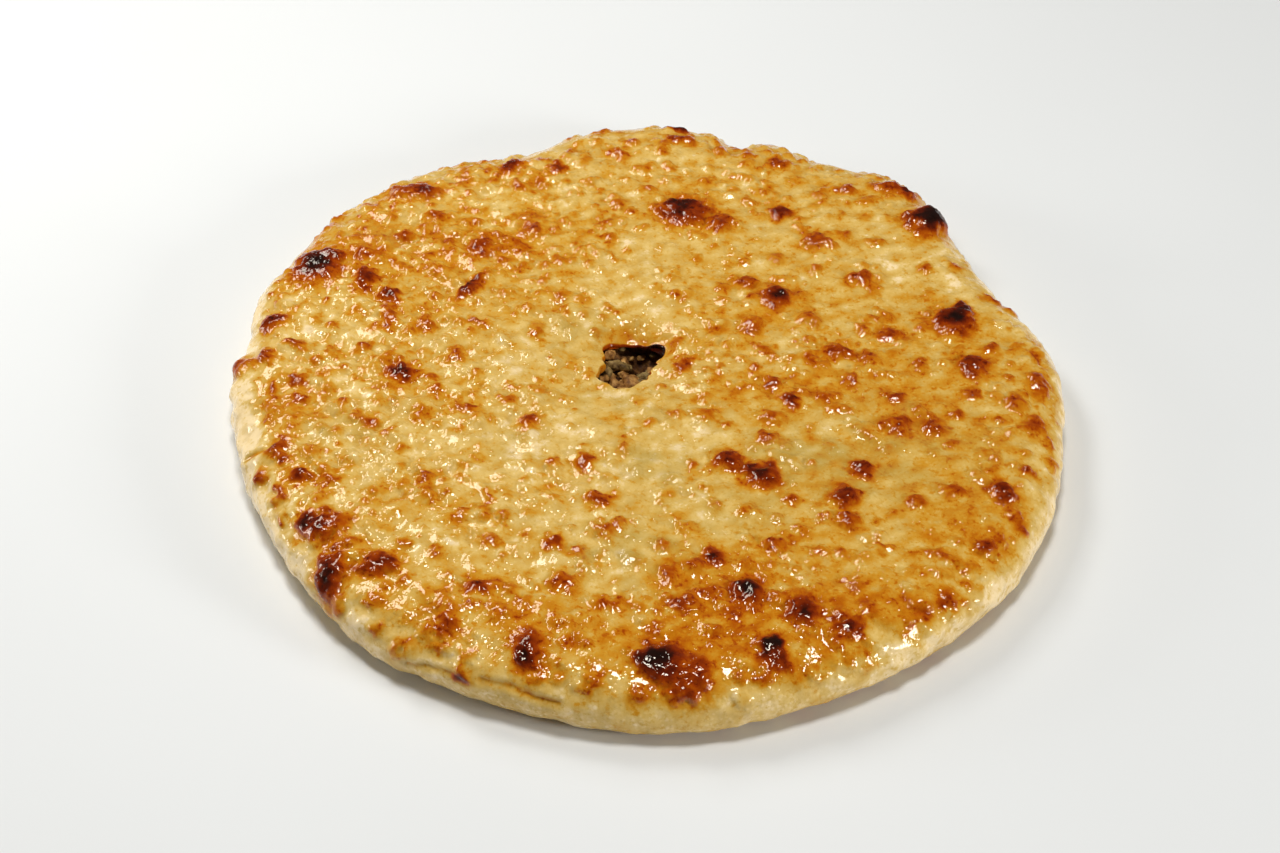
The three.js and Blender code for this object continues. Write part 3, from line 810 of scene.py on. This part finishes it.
def on_skin(x, y):
    """Where the camera's line of sight through a point of the sight level meets the skin."""
    eye_x, eye_y, eye_z = eye_place()
    share = SIGHT_SEARCH / (eye_z - SIGHT_LEVEL)
    along_x = x + share * (x - eye_x)
    along_y = y + share * (y - eye_y)
    reach = rim_reach(np.arctan2(along_y, along_x)) - SIGHT_MARGIN
    inside = np.hypot(along_x, along_y) < reach
    under = inside & (SIGHT_LEVEL - SIGHT_SEARCH <= skin_height(along_x, along_y))
    first = int(np.argmax(under)) if under.any() else int(np.argmin(np.hypot(along_x, along_y)))
    return along_x[first], along_y[first]


def blister_form(half_length=USUAL_BLISTER, half_width=None, direction=0):
    """A blister's half sizes and direction, of which its row may leave out the usual ones."""
    return half_length, half_width or half_length, math.radians(direction)


def placed_blisters():
    """Every blister: its kind, its middle on the skin, half sizes and direction."""
    for kind, rows in BLISTERS.items():
        for sight_x, sight_y, *form in rows:
            x, y = on_skin(sight_x, sight_y)
            yield kind, x, y, at_place(skin_height, x, y), *blister_form(*form)


def nearness(points, x, y, z, half_length, half_width, turn):
    """The squared distance of points from a blister's middle, 1 at its foot."""
    cos, sin = math.cos(turn), math.sin(turn)
    along = ((points[:, 0] - x) * cos + (points[:, 1] - y) * sin) / half_length
    across = ((points[:, 1] - y) * cos - (points[:, 0] - x) * sin) / half_width
    down = (points[:, 2] - z) / max(half_length, half_width)
    return along**2 + across**2 + down**2


def patches_at(x, y, patches):
    """The sum of soft patches, each x, y, half length, half width and amount, at points."""
    total = np.zeros_like(x)
    for px, py, half_length, half_width, amount in patches:
        total += amount * np.exp(-(((x - px) / half_length) ** 2) - ((y - py) / half_width) ** 2)
    return total


def strewn_bubbles():
    """The small bubbles: x, y, radius and how much their tips brown or pale, in clusters over the top."""
    draw = np.random.default_rng(BUBBLE_SEED)
    far = PIE_RADIUS * np.sqrt(draw.uniform(0, 1, BUBBLE_COUNT))
    angle = draw.uniform(-np.pi, np.pi, BUBBLE_COUNT)
    far = np.minimum(far * rim_reach(angle) / PIE_RADIUS, rim_reach(angle) - RIM_MARGIN)
    x, y = far * np.cos(angle), far * np.sin(angle)
    crowd = ripple(np.stack([x, y, 0 * x], axis=1), CROWD_WAVELENGTH, BUBBLE_SEED)
    crowd += draw.normal(0, CROWD_CHANCE, BUBBLE_COUNT)
    crowd += CROWD_WEIGHT * patches_at(x, y, BUBBLE_CROWDS)
    kept = (crowd > CROWD_LIMIT) & (from_hole(x, y)[0] > HOLE_RADIUS + HOLE_MARGIN)
    low, high = BUBBLE_RADIUS
    radius = low + (high - low) * draw.uniform(0, 1, BUBBLE_COUNT) ** BUBBLE_POWER
    brown = draw.uniform(*TIP_SHEEN_AND_BROWNING, BUBBLE_COUNT)
    return x[kept], y[kept], radius[kept], brown[kept]


def distance_to_line(points, corners):
    """How far points lie from a line through corners."""
    nearest = np.full(len(points), np.inf)
    for start, end in zip(corners[:-1], corners[1:]):
        along = np.subtract(end, start)
        share = np.clip((points - start) @ along / (along @ along), 0, 1)
        gap = np.linalg.norm(points - start - share[:, None] * along, axis=1)
        nearest = np.minimum(nearest, gap)
    return nearest


class Skin:
    """The crust's points while they are raised and browned."""

    def __init__(self, shell):
        self.angle, x, y, z, self.lean, _, rings = shell.joined()
        self.x, self.y = x, y
        self.points = np.stack([x, y, z], axis=1)
        self.outside = np.array([zone == "outside" for zone in shell.zones])[rings]
        self.raised = np.zeros(len(x))
        self.swollen = np.zeros(len(x))
        self.charred = np.zeros(len(x))
        self.pale = self.pale_rim()
        self.level = self.ground_level()
        self.order = np.argsort(x)
        self.sorted_x = x[self.order]

    def pale_rim(self):
        """How pale the skin is: 1 on the rim's pale band, 0 on the browned top."""
        heading = np.arctan2(self.y, self.x)
        # The band's widening on the left is partly painted light, its fade at the front partly painted
        # shade.
        band = reach_of(PALE_BAND, PALE_AND_LIGHT_SWELLS, heading)
        amount = reach_of(PALE_AMOUNT, PALE_AND_SHADE_FADES, heading)
        past = rim_inset(self.x, self.y) - band + waves(self.points, PALE_WAVES)
        return amount * (1 - smooth(*PALE_EDGE, past)) * self.outside

    def ground_level(self):
        """How baked the skin is between its blisters."""
        level = BASE_LEVEL + waves(self.points, GROUND_WAVES)
        # These patches include a painted highlight near the left rim.
        level += patches_at(self.x, self.y, BAKED_AND_SHEEN_PATCHES)
        return level * (1 - self.pale)

    def near(self, x, y, reach):
        """The outside points within a square about a place."""
        low, high = np.searchsorted(self.sorted_x, (x - reach, x + reach))
        found = self.order[low:high]
        return found[(abs(self.y[found] - y) < reach) & self.outside[found]]

    def raise_blisters(self):
        """Raises the placed blisters, and browns and chars them."""
        edge = waves(self.points, EDGE_WAVES)
        knobbly = waves(self.points, KNOBBLY_WAVES)
        shifted = self.points.copy()
        for axis, rows in enumerate(SHIFT_WAVES):
            shifted[:, axis] += waves(self.points, rows)
        for kind, x, y, z, half_length, half_width, turn in placed_blisters():
            bake, char, rise, spread = KINDS[kind]
            near = self.near(x, y, BLISTER_REACH * max(half_length, half_width))
            square = nearness(shifted[near], x, y, z, half_length, half_width, turn)
            far = np.sqrt(square) + edge[near]
            dome = np.clip(1 - far * far, 0, 1) ** DOME_POWER * (1 + KNOBBLY_DOME * knobbly[near])
            height = rise * math.sqrt(half_length * half_width)
            self.raised[near] = np.maximum(self.raised[near], dome * height)
            skirt = SKIRT_SHARE * smooth(*SKIRT_LEVELS, bake) * (1 - smooth(*SKIRT_FADE, far))
            self.level[near] += skirt * np.maximum(SKIRT_LEVEL - self.level[near], 0)
            core = 1 - smooth(CORE_START, spread, far)
            lift = bake - KNOBBLY_BAKE * knobbly[near] - self.level[near]
            self.level[near] += core * np.maximum(lift, 0)
            charred = char * (1 - smooth(*CHAR_FADE, far))
            self.charred[near] = np.maximum(self.charred[near], charred)

    def raise_bubbles(self):
        """Raises the strewn bubbles, and browns their tips or makes them paler, partly as a painted
        sheen.
        """
        small = np.zeros(len(self.points))
        tips = np.zeros(len(self.points))
        for x, y, radius, brown in zip(*strewn_bubbles()):
            z = at_place(skin_height, x, y)
            near = self.near(x, y, BUBBLE_REACH * radius)
            square = nearness(self.points[near], x, y, z, radius, radius, 0)
            dome = np.clip(1 - square, 0, 1) ** DOME_POWER
            small[near] = np.maximum(small[near], dome * BUBBLE_RISE * radius)
            # Paler tips are partly thin skin and partly a painted sheen.
            tip = BUBBLE_TIP * brown * np.clip(TIP_REACH - square, 0, 1) ** TIP_POWER
            tips[near] = np.where(abs(tip) > abs(tips[near]), tip, tips[near])
        self.raised += small * (1 - PALE_FLATTENING * self.pale)
        ripe = smooth(*RIPE_LEVELS, self.level)
        self.level += tips * (1 - self.pale) * (1 - BAKED_TIP_LOSS * ripe)

    def raise_knobs(self):
        for x, y, z, radius, height in KNOBS:
            near = self.near(x, y, radius)
            square = nearness(self.points[near], x, y, z, radius, radius, 0)
            self.swollen[near] += height * np.clip(1 - square, 0, 1) ** KNOB_POWER

    def press_creases(self):
        for furrow_shade, corners in CREASES:
            gap = distance_to_line(self.points, corners)
            furrow = np.exp(-((gap / CREASE_WIDTH) ** 2)) * self.outside
            self.swollen += FOLD_HEIGHT * np.exp(-((gap / FOLD_WIDTH) ** 2)) * self.outside
            self.swollen -= CREASE_DEPTH * furrow
            # The furrow's darker level is painted shade.
            self.level += furrow_shade * furrow

    def darken_hole(self):
        """Darkens the rolled skin round the hole, and sets the torn edge's level, with painted shade at
        the back.
        """
        self.rolled = rolled_share(self.x, self.y)
        self.level += ROLLED_DARKENING * self.rolled * self.outside
        torn = ~self.outside & (self.points[:, 2] > BASE + CLEAR_OF_BASE)
        _, angle = from_hole(self.x[torn], self.y[torn])
        # The torn edge's swells by direction darken it at the back as painted shade.
        self.level[torn] = reach_of(TORN_LEVEL, TORN_SHADE_SWELLS, angle)

    def thinness(self):
        """How much of the greens below shows through the skin."""
        thin = patches_at(self.x, self.y, THIN_PATCHES)
        thin = np.minimum(thin, THIN_LIMIT) * (THIN_SHARE + waves(self.points, THIN_WAVES))
        thin *= 1 - smooth(*THIN_HIDDEN, self.level)
        return np.clip(thin * (1 - self.rolled), 0, 1)

    def finished_points(self):
        """The points, pushed out along the skin by all that rises from it."""
        lumpy = 1 + patches_at(self.x, self.y, LUMPY_PATCHES)
        wave = waves(self.points, BROAD_WAVES) + lumpy * waves(self.points, LUMPY_WAVES)
        wrinkles = self.charred * abs(waves(self.points, WRINKLE_WAVES))
        out = HIGHEST * np.tanh(self.raised / HIGHEST) + self.swollen + wave - wrinkles
        out *= self.outside * smooth(*FOOT_FADE, self.points[:, 2])
        sideways = out * np.cos(self.lean)
        push = [sideways * np.cos(self.angle), sideways * np.sin(self.angle), out * np.sin(self.lean)]
        return self.points + np.stack(push, axis=1)


def bake_skin(shell):
    """Raises and browns the skin. Returns its points and the values that its material reads."""
    skin = Skin(shell)
    skin.raise_blisters()
    skin.raise_bubbles()
    skin.raise_knobs()
    skin.press_creases()
    skin.darken_hole()
    values = {"baked": skin.level, "charred": skin.charred, "thin": skin.thinness(),
              "dull": np.maximum(skin.pale, skin.rolled)}
    return skin.finished_points(), values


def add_map(mesh, shell, zones):
    """Lays each zone of a shell flat on a map of its own."""
    _, x, y, _, _, flat, _ = shell.joined()
    heading = np.arctan2(y, x)
    corners = np.zeros(len(mesh.loops), dtype=np.int32)
    mesh.loops.foreach_get("vertex_index", corners)
    middles = np.repeat(np.array([ISLANDS[zone] for zone in zones]), 3, axis=0)
    u = middles[:, 0] + middles[:, 2] * flat[corners] * np.cos(heading[corners])
    v = middles[:, 1] + middles[:, 2] * flat[corners] * np.sin(heading[corners])
    layer = mesh.uv_layers.new(name="OFBake")
    layer.data.foreach_set("uv", np.stack([u, v], axis=1).astype(np.float32).ravel())


def to_part(points):
    """From mm about the middle of the pie's outline to metres in the part's frame."""
    return (points - np.array([BOX_MIDDLE[0], BOX_MIDDLE[1], 0])) * MM


def add_object(name, data):
    """A new object in the scene."""
    made = bpy.data.objects.new(name, data)
    bpy.context.scene.collection.objects.link(made)
    return made


def make_piece(name, points, faces, material, stands_for):
    """A mesh object that rides on the pie and stands for a node of the model."""
    low, high = (np.array(corner) for corner in CAD_BOX)
    mesh = bpy.data.meshes.new(name)
    mesh.from_pydata(np.clip(to_part(points), low, high).tolist(), [], faces)
    mesh.polygons.foreach_set("use_smooth", [True] * len(mesh.polygons))
    mesh.materials.append(material)
    piece = add_object(name, mesh)
    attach(piece, "root")
    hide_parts(stands_for)
    return piece


def add_values(mesh, values):
    """Values for each point, which the materials read by name."""
    for name, value in values.items():
        kept = mesh.attributes.new(name, "FLOAT", "POINT")
        kept.data.foreach_set("value", value.astype(np.float32))


def make_crust(material):
    """The whole crust, one closed surface with its hollow inside."""
    shell = Shell(3)
    add_underside(shell)
    add_side(shell)
    add_shoulder(shell)
    add_top(shell)
    add_lip(shell)
    add_ceiling(shell, "inside", 0, ceiling_height, HIDDEN_PITCH)
    add_edge_and_floor(shell, "cavity", 0)
    points, values = bake_skin(shell)
    faces, zones = shell.triangles()
    crust = make_piece("baked_crust", points, faces, material, "crust")
    add_values(crust.data, values)
    add_map(crust.data, shell, zones)


def linear(value):
    """A screen value from 0 to 255 in the linear terms that shaders take."""
    share = value / 255
    return share / 12.92 if share <= 0.04045 else ((share + 0.055) / 1.055) ** 2.4


def colour(red, green, blue):
    return (linear(red), linear(green), linear(blue), 1.0)


def set_inputs(tree, node, inputs):
    """Sets a node's inputs, each to a constant or to another node's output."""
    for key, value in inputs.items():
        if isinstance(value, bpy.types.NodeSocket):
            tree.links.new(value, node.inputs[key])
        else:
            node.inputs[key].default_value = value


def add_node(tree, kind, inputs=None, **settings):
    """A shader node with its settings and inputs."""
    made = tree.nodes.new("ShaderNode" + kind)
    for name, value in settings.items():
        setattr(made, name, value)
    set_inputs(tree, made, inputs or {})
    return made


def calculate(tree, operation, *values):
    """A math node's output."""
    made = add_node(tree, "Math", dict(enumerate(values)), operation=operation)
    return made.outputs[0]


def attribute(tree, name):
    return add_node(tree, "Attribute", attribute_name=name).outputs["Fac"]


def noise(tree, place, size, detail=2.0, roughness=0.5):
    """Soft noise whose patches are about size mm across, from 0 to 1."""
    inputs = {"Vector": place, "Scale": 1 / (size * MM), "Detail": detail, "Roughness": roughness}
    return add_node(tree, "TexNoise", inputs).outputs["Fac"]


def fade(tree, value, start, end, at_start, at_end):
    """Runs from one result to another while a value runs from its start to its end."""
    inputs = {"Value": value, "From Min": start, "From Max": end, "To Min": at_start, "To Max": at_end}
    return add_node(tree, "MapRange", inputs).outputs["Result"]


def bumped(tree, height, strength, depth):
    """A normal that follows a height pattern, whose full height is a depth in mm."""
    inputs = {"Height": height, "Strength": strength, "Distance": depth * MM}
    return add_node(tree, "Bump", inputs).outputs["Normal"]


def ramp(tree, factor, stops):
    """Colours along a ramp, each a place and screen values."""
    made = add_node(tree, "ValToRGB", {"Fac": factor})
    line = made.color_ramp.elements
    while len(line) < len(stops):
        line.new(0.5)
    for element, (place, shade) in zip(line, stops):
        element.position = place
        element.color = colour(*shade)
    return made.outputs["Color"]


def mix(tree, factor, first, second):
    """A colour between two others. The node's colour inputs have the numbers 6 and 7."""
    made = add_node(tree, "Mix", {0: factor}, data_type="RGBA")
    set_inputs(tree, made, {6: first, 7: second})
    return made.outputs[2]


def new_material(name):
    material = bpy.data.materials.new(name)
    material.use_nodes = True
    tree = material.node_tree
    return material, tree, tree.nodes["Principled BSDF"]


def tiny_bubbles(tree, place):
    """Tiny bubbles all over the skin: 0 between them, up to 1 on the highest."""
    cells = add_node(tree, "TexVoronoi", {"Vector": place, "Scale": 1 / (TINY_BUBBLE * MM)})
    away = calculate(tree, "MULTIPLY", cells.outputs["Distance"], 2)
    dome = calculate(tree, "SUBTRACT", 1, calculate(tree, "MULTIPLY", away, away))
    chance = add_node(tree, "SeparateColor", {"Color": cells.outputs["Color"]}).outputs["Red"]
    return calculate(tree, "MULTIPLY", calculate(tree, "MAXIMUM", dome, 0), chance)


def dough_level(tree, place, bubbles):
    """How baked the dough is: the value of its points, with finer patterns over it."""
    level = attribute(tree, "baked")
    for pattern, amount in BROWNINGS:
        uneven = calculate(tree, "SUBTRACT", noise(tree, place, *pattern), 0.5)
        level = calculate(tree, "MULTIPLY_ADD", uneven, amount, level)
    # Tiny bubbles' tops are paler: partly thin skin, partly a painted sheen.
    level = calculate(tree, "MULTIPLY_ADD", bubbles, BUBBLE_PALING_AND_SHEEN, level)
    return calculate(tree, "ADD", level, fade(tree, noise(tree, place, *FLECKS), *FLECK_FADE))


def dough_colour(tree, place, level):
    """The dough's colour: greenish where it is pale or thin, and black where it is charred."""
    greenish = fade(tree, noise(tree, place, *GREENISH), *GREENISH_FADE)
    greenish = calculate(tree, "MULTIPLY", greenish, fade(tree, level, *YOUNG_FADE))
    tone = mix(tree, greenish, ramp(tree, level, DOUGH_TONES), colour(*GREENISH_TONE))
    thin = calculate(tree, "MULTIPLY", attribute(tree, "thin"), THIN_STRENGTH)
    tone = mix(tree, thin, tone, colour(*THIN_TONE))
    return mix(tree, attribute(tree, "charred"), tone, colour(*CHARRED_TONE))


def dough_relief(tree, place, bubbles, dull):
    """A normal with tiny bubbles, grain and wrinkles, which are weaker on dull skin."""
    relief = calculate(tree, "MULTIPLY", noise(tree, place, *GRAIN), GRAIN_RELIEF)
    relief = calculate(tree, "MULTIPLY_ADD", bubbles, BUBBLE_RELIEF, relief)
    relief = calculate(tree, "MULTIPLY_ADD", noise(tree, place, *WRINKLES), WRINKLE_RELIEF, relief)
    left = calculate(tree, "MULTIPLY_ADD", dull, -DULL_RELIEF_LOSS, 1)
    return bumped(tree, calculate(tree, "MULTIPLY", relief, left), 1, 1)


def crust_material():
    """Baked dough: from cream through gold, amber and brown to black, under a film of butter."""
    material, tree, shader = new_material("baked_dough")
    place = add_node(tree, "TexCoord").outputs["Object"]
    bubbles = tiny_bubbles(tree, place)
    dull = attribute(tree, "dull")
    streaks = noise(tree, place, *STREAKS)
    rough = calculate(tree, "MULTIPLY_ADD", streaks, STREAK_ROUGHNESS, BUTTER_ROUGHNESS)
    set_inputs(tree, shader, {
        "Base Color": dough_colour(tree, place, dough_level(tree, place, bubbles)),
        "Roughness": calculate(tree, "MULTIPLY_ADD", dull, DULL_ROUGHNESS, rough),
        "Normal": dough_relief(tree, place, bubbles, dull),
        **BUTTER,
    })
    return material


def filling_material(name, size, roughness):
    """Moist filling in three shades, mixed in patches of a size in mm."""
    material, tree, shader = new_material(name)
    place = add_node(tree, "TexCoord").outputs["Object"]
    patches = noise(tree, place, size, *FILLING_DETAIL)
    rough = calculate(tree, "MULTIPLY_ADD", noise(tree, place, MOIST_PATCHES), MOIST_SPREAD, roughness)
    set_inputs(tree, shader, {
        "Base Color": ramp(tree, patches, list(zip(FILLING_STOPS, FILLING_TONES[name]))),
        "Specular IOR Level": FILLING_SPECULAR,
        "Roughness": rough,
        "Normal": bumped(tree, noise(tree, place, *FILLING_GRAIN), *FILLING_RELIEF),
    })
    return material


def make_filling(material):
    """The whole body of the filling, with its uneven top sunk under the hole."""
    shell = Shell(4)
    steps = round(HOLE_RADIUS / FLAKE_PITCH)
    for k in range(steps):
        share = k / steps

        def place(angle):
            edge_x, edge_y = hole_edge(angle)
            x = HOLE_X + share * (edge_x - HOLE_X)
            y = HOLE_Y + share * (edge_y - HOLE_Y)
            return x, y, filling_height(x, y), np.pi / 2, np.hypot(x, y)

        shell.ring("top", 1 if k == 0 else count_for(HOLE_RADIUS, FLAKE_PITCH), place)
    add_ceiling(shell, "top", GAP, filling_height, FLAKE_PITCH, FLAKE_REACH)
    add_edge_and_floor(shell, "floor", GAP)
    _, x, y, z, lean, _, _ = shell.joined()
    points = np.stack([x, y, z], axis=1)
    near = 1 - smooth(*FILLING_FADE, from_hole(x, y)[0] - HOLE_RADIUS)
    lumps = waves(points, FILLING_WAVES) - FILLING_SUNK
    points[:, 2] += np.minimum(lumps, FILLING_LIMIT) * near * (lean > 0)
    faces = [face[::-1] for face in shell.triangles()[0]]
    make_piece("filling_core", points, faces, material, "filling")


def ball():
    """A round ball's points and triangles, for lumps to be made from."""
    bpy.ops.mesh.primitive_ico_sphere_add(subdivisions=3, radius=1.0)
    made = bpy.context.object
    points = np.array([tuple(v.co) for v in made.data.vertices])
    faces = [tuple(p.vertices) for p in made.data.polygons]
    mesh = made.data
    bpy.data.objects.remove(made)
    bpy.data.meshes.remove(mesh)
    return points, faces


def turned(points, draw):
    """Points turned to a random heading, mostly lying flat."""
    heading = draw.uniform(0, 2 * np.pi)
    tilt = draw.normal(0, STREWN_TILT)
    cos, sin = math.cos(tilt), math.sin(tilt)
    tilted = points @ np.array([[cos, 0, sin], [0, 1, 0], [-sin, 0, cos]])
    cos, sin = math.cos(heading), math.sin(heading)
    return tilted @ np.array([[cos, sin, 0], [-sin, cos, 0], [0, 0, 1]])


def strewn_places(draw, count, sizes):
    """Random places over the filling where the hole shows it: x, y, lift and sizes."""
    for _ in range(count):
        far = STREWN_RADIUS * math.sqrt(draw.uniform(0, 1))
        angle = draw.uniform(0, 2 * np.pi)
        lift = LUMP_LIFT * draw.uniform(0, 1)
        size = np.array(sizes) * draw.uniform(*STREWN_SIZES)
        yield HOLE_X + far * math.cos(angle), HOLE_Y + far * math.sin(angle), lift, size


def make_bits(name, material, lumps, count, sizes, seed):
    """The lumps of one kind, and many small pieces of it strewn round them."""
    draw = np.random.default_rng(seed)
    form, form_faces = ball()
    places = [(x, y, LUMP_LIFT, np.array(LUMP_SHAPE) * radius) for x, y, radius in lumps]
    places.extend(strewn_places(draw, count, sizes))
    points, faces = [], []
    for k, (x, y, lift, size) in enumerate(places):
        uneven = 1 + waves(form + BIT_SHIFT * k, [(*row, seed) for row in BIT_WAVES])
        bit = turned(form * uneven[:, None] * size, draw)
        z = at_place(filling_height, x, y) + lift
        faces.extend(tuple(corner + k * len(form) for corner in face) for face in form_faces)
        points.append(bit + (x, y, z))
    x, y, z = np.concatenate(points).T
    away, angle = from_hole(x, y)
    covered = away > reach_of(HOLE_RADIUS, HOLE_SWELLS, angle) - LIP_DEPTH - ROOF_MARGIN
    z = np.where(covered, np.minimum(z, ceiling_height(x, y) - GAP), z)
    points = np.stack([x, y, z], axis=1)
    make_piece(name, points, faces, material, "filling")


def make_fillings():
    """The filling's body, and the lumps and strewn pieces that show in the hole."""
    make_filling(filling_material("mixed_filling", 3.0, 0.5))
    salmon = filling_material("salmon", 2.4, 0.45)
    make_bits("salmon_flakes", salmon, SALMON_LUMPS, 50, (2.2, 1.7, 1.3), 31)
    greens = filling_material("greens", 2.4, 0.45)
    make_bits("chopped_greens", greens, GREENS_LUMPS, 40, (1.9, 1.5, 1.1), 32)
    make_bits("grains", filling_material("grains", 1.5, 0.4), [], 24, (1.1, 0.9, 0.8), 33)


def make_camera():
    settings = bpy.data.cameras.new("camera")
    settings.lens = LENS
    settings.sensor_width = SENSOR_WIDTH
    settings.clip_start = NEAREST_SEEN
    camera = add_object("camera", settings)
    camera.location = to_part(eye_place())
    camera.rotation_euler = (math.radians(90 - CAMERA_ELEVATION), 0, 0)
    bpy.context.scene.camera = camera


def make_floor():
    """A plain pale floor, with a slight unevenness in its tone."""
    material, tree, shader = new_material("pale_floor")
    place = add_node(tree, "TexCoord").outputs["Object"]
    tone = ramp(tree, noise(tree, place, FLOOR_PATCHES), FLOOR_TONES)
    set_inputs(tree, shader, {"Base Color": tone, **FLOOR_FINISH})
    half = FLOOR_SIZE / 2
    mesh = bpy.data.meshes.new("floor")
    corners = [(-half, -half, 0), (half, -half, 0), (half, half, 0), (-half, half, 0)]
    mesh.from_pydata(corners, [], [(0, 1, 2, 3)])
    mesh.materials.append(material)
    floor = add_object("floor", mesh)
    floor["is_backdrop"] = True


def add_softbox(name, azimuth, elevation, distance, size, power, shade):
    """A soft lamp that faces the pie. Azimuth 0 is in front of it and 90 to its right."""
    settings = bpy.data.lights.new(name, "AREA")
    settings.shape = "RECTANGLE"
    settings.size = size
    settings.size_y = size
    settings.energy = power
    settings.color = shade
    lamp = add_object(name, settings)
    turn, rise = math.radians(azimuth), math.radians(elevation)
    away = distance * math.cos(rise)
    lamp.location = (away * math.sin(turn), -away * math.cos(turn), distance * math.sin(rise))
    lamp.rotation_euler = (math.pi / 2 - rise, 0, turn)


def make_light():
    world = bpy.data.worlds.new("studio")
    world.use_nodes = True
    set_inputs(world.node_tree, world.node_tree.nodes["Background"], SKY)
    bpy.context.scene.world = world
    for lamp in LAMPS:
        add_softbox(*lamp)
    bpy.context.scene.view_settings.view_transform = "Standard"


make_camera()
make_crust(crust_material())
make_fillings()
make_floor()
make_light()

boxes = {"cad": CAD_BOX, "visual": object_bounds()}
{name: [list(corner) for corner in box] for name, box in boxes.items()}
